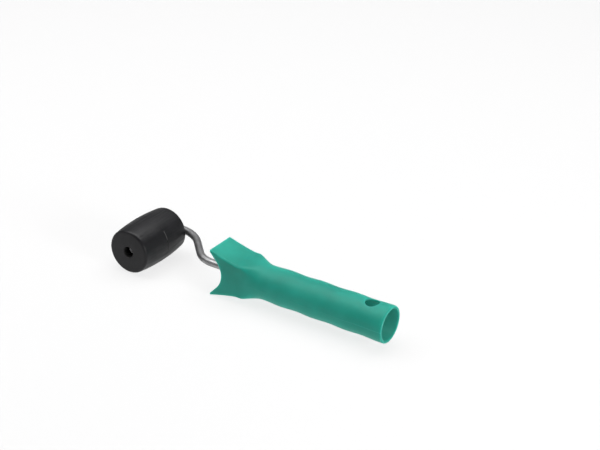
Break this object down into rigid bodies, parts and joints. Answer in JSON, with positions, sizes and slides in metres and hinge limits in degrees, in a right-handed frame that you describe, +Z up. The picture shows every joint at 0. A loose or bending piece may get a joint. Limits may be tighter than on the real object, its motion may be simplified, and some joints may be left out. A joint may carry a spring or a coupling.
{
  "type": "seam roller",
  "caption": "Hand seam roller: a crowned rubber barrel turns on a cranked steel wire arm held in a hollow plastic handle with a fishtail front and a hanging hole.",
  "frame": {"origin": "Middle of the tool's footprint, on the surface that it rests on: the lowest line of the roller and the two lower tips of the handle's fishtail.", "axes": "+X along the handle towards its open rear end, +Y along the roller's axis towards the wire arm, +Z up."},
  "size_m": [0.2338, 0.0574, 0.0382],
  "materials": {
    "handle_plastic": "moulded polypropylene, satin, turquoise green",
    "zinc_wire": "zinc-plated drawn steel wire, dull grey",
    "collar_steel": "turned steel",
    "washer_steel": "stamped zinc-plated steel",
    "spring_steel": "oiled spring steel, dark",
    "black_rubber": "moulded rubber, dull black",
    "sleeve_plastic": "moulded nylon, dark grey",
    "bush_plastic": "moulded acetal, off-white"
  },
  "bodies": {
    "frame": {"handle": "handle_plastic", "wire_arm": "zinc_wire", "stop_collar": "collar_steel", "rear_thrust_washer": "washer_steel", "front_thrust_washer": "washer_steel", "push_nut": "spring_steel"},
    "roller": {"roller_tyre": "black_rubber", "roller_sleeve": "sleeve_plastic", "front_bush": "bush_plastic", "rear_bush": "bush_plastic"}
  },
  "joints": [
    {"name": "roller_spin", "type": "hinge", "parent": "frame", "child": "roller", "pos_m": [-0.09779, -0.00365, 0.01912], "axis": [0, 1, 0], "continuous": true}
  ]
}
